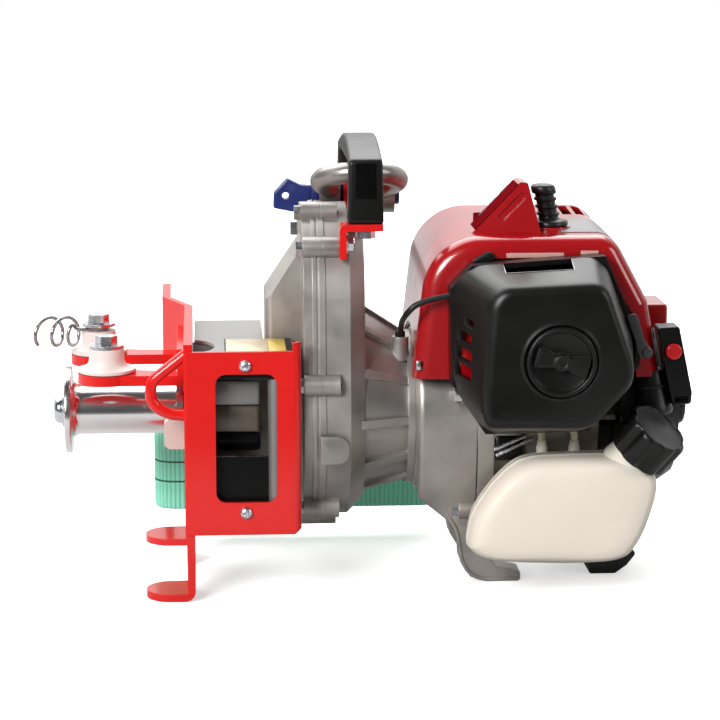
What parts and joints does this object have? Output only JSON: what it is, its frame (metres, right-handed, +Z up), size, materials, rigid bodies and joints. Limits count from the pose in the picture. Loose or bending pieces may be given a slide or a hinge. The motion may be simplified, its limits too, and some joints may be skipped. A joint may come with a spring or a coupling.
{
  "type": "engine winch",
  "caption": "Portable capstan rope winch: plated drum, guide rollers and red guard on a cast gear case, driven by a small petrol engine, with carry handle and anchor sling.",
  "frame": {"origin": "on the ground under the middle of the outline", "axes": "+X from the rope drum to the starter along the common drum and crank axis, -Y towards the air cleaner and the camera of the picture, +Z up"},
  "size_m": [0.3921, 0.232, 0.2625],
  "materials": {
    "red_paint": "satin powder coat, signal red",
    "shroud_red": "glossy deep red moulding",
    "cast_aluminium": "satin sand-blasted casting",
    "stripper_aluminium": "cut plate, light grey",
    "chrome": "bright plated, turned",
    "zinc": "bright zinc plate",
    "wire": "bright drawn wire",
    "gear_steel": "machined steel",
    "nylon": "off-white turned nylon",
    "black_plate": "glossy black sheet",
    "black_plastic": "satin black moulding",
    "black_rubber": "matt black rubber",
    "galvanised": "dull galvanised forging",
    "blue_paint": "navy blue paint",
    "exhaust_steel": "heat-dulled sheet steel",
    "tank_plastic": "translucent cream blow moulding",
    "hose": "clear yellow-green hose",
    "foam": "oiled foam",
    "red_button": "glossy red moulding",
    "webbing": "green woven polyester webbing"
  },
  "bodies": {
    "winch_body": {"air_cleaner_base": "black_plastic", "air_filter": "foam", "carburettor": "cast_aluminium", "carry_handle": "black_plastic", "case_bolts": "zinc", "chassis_plate": "red_paint", "crankcase_bolts": "zinc", "crankcase_front": "cast_aluminium", "crankcase_rear": "cast_aluminium", "cylinder_block": "cast_aluminium", "engine_shroud": "shroud_red", "engine_stand": "cast_aluminium", "foot_bracket": "red_paint", "fuel_hoses": "hose", "fuel_tank": "tank_plastic", "gear_case_front": "cast_aluminium", "gear_case_rear": "cast_aluminium", "guard_screws": "zinc", "guide_loop": "red_paint", "handle_bolts": "zinc", "handle_bracket": "red_paint", "inner_cover_plate": "black_plate", "muffler": "exhaust_steel", "muffler_guard": "black_plastic", "pigtail_guide": "wire", "plug_boot": "black_rubber", "rear_foot": "black_rubber", "recoil_housing": "black_plastic", "roller_arm": "red_paint", "roller_bolts": "zinc", "rope_stripper": "stripper_aluminium", "shaft_bearings": "gear_steel", "side_guard": "red_paint", "sling": "webbing", "spark_plug": "gear_steel", "stop_switch_box": "black_plastic", "throttle_cable": "black_rubber", "top_cover_plate": "stripper_aluminium"},
    "capstan": {"capstan_drum": "chrome", "drum_flanges": "chrome", "drum_end_bolt": "zinc", "drum_shaft": "gear_steel", "output_gear": "gear_steel"},
    "countershaft_set": {"countershaft": "gear_steel", "countershaft_gear": "gear_steel"},
    "input_set": {"input_pinion": "gear_steel", "clutch_drum": "gear_steel"},
    "crank_set": {"crankshaft": "gear_steel", "clutch_shoes": "gear_steel", "flywheel": "cast_aluminium"},
    "near_roller": {"guide_roller_near": "nylon"},
    "far_roller": {"guide_roller_far": "nylon"},
    "cleaner_cover": {"air_cleaner_cover": "black_plastic"},
    "cleaner_knob": {"air_cleaner_knob": "black_plastic"},
    "filler_cap": {"fuel_cap": "black_plastic"},
    "stop_push": {"stop_button": "red_button"},
    "choke": {"choke_lever": "black_plastic"},
    "starter": {"starter_grip": "black_plastic"},
    "bow": {"shackle_bow": "galvanised"},
    "screw_pin": {"shackle_pin": "blue_paint"}
  },
  "joints": [
    {"name": "capstan_spin", "type": "hinge", "parent": "winch_body", "child": "capstan", "pos_m": [-0.14, 0, 0.099], "axis": [1, 0, 0], "continuous": true},
    {"name": "countershaft_spin", "type": "hinge", "parent": "winch_body", "child": "countershaft_set", "pos_m": [-0.02, 0, 0.1665], "axis": [1, 0, 0], "continuous": true},
    {"name": "input_spin", "type": "hinge", "parent": "winch_body", "child": "input_set", "pos_m": [0, 0, 0.099], "axis": [1, 0, 0], "continuous": true},
    {"name": "crank_spin", "type": "hinge", "parent": "winch_body", "child": "crank_set", "pos_m": [0.09, 0, 0.099], "axis": [1, 0, 0], "continuous": true},
    {"name": "near_roller_spin", "type": "hinge", "parent": "winch_body", "child": "near_roller", "pos_m": [-0.15, -0.031, 0.133], "axis": [0, 0, 1], "continuous": true},
    {"name": "far_roller_spin", "type": "hinge", "parent": "winch_body", "child": "far_roller", "pos_m": [-0.157, 0.031, 0.133], "axis": [0, 0, 1], "continuous": true},
    {"name": "cover_pull", "type": "slide", "parent": "winch_body", "child": "cleaner_cover", "axis": [0, -1, 0], "range_m": [0, 0.06]},
    {"name": "knob_turn", "type": "hinge", "parent": "cleaner_cover", "child": "cleaner_knob", "pos_m": [0.106, -0.11, 0.145], "axis": [0, 1, 0], "continuous": true},
    {"name": "cap_turn", "type": "hinge", "parent": "winch_body", "child": "filler_cap", "pos_m": [0.152, -0.073, 0.08], "axis": [0.5291, -0.3993, 0.7487], "continuous": true},
    {"name": "stop_press", "type": "slide", "parent": "winch_body", "child": "stop_push", "axis": [0, 1, 0], "range_m": [0, 0.0025], "stiffness_N_per_m": 400, "springref_m": -0.001},
    {"name": "choke_turn", "type": "hinge", "parent": "winch_body", "child": "choke", "pos_m": [0.1608, -0.065, 0.143], "axis": [0, 1, 0], "range_deg": [0, 35]},
    {"name": "starter_pull", "type": "slide", "parent": "winch_body", "child": "starter", "axis": [0, 1, 0], "range_m": [0, 0.25], "stiffness_N_per_m": 20, "springref_m": -0.25},
    {"name": "bow_swing", "type": "hinge", "parent": "winch_body", "child": "bow", "pos_m": [0, 0.04, 0.224], "axis": [1, 0, 0], "range_deg": [-1.4, 0]},
    {"name": "pin_turn", "type": "hinge", "parent": "bow", "child": "screw_pin", "pos_m": [0, 0.04, 0.224], "axis": [1, 0, 0], "continuous": true}
  ],
  "couplings": [
    {"joint": "countershaft_spin", "follows": "capstan_spin", "ratio": -6.5},
    {"joint": "input_spin", "follows": "capstan_spin", "ratio": 17.875}
  ]
}
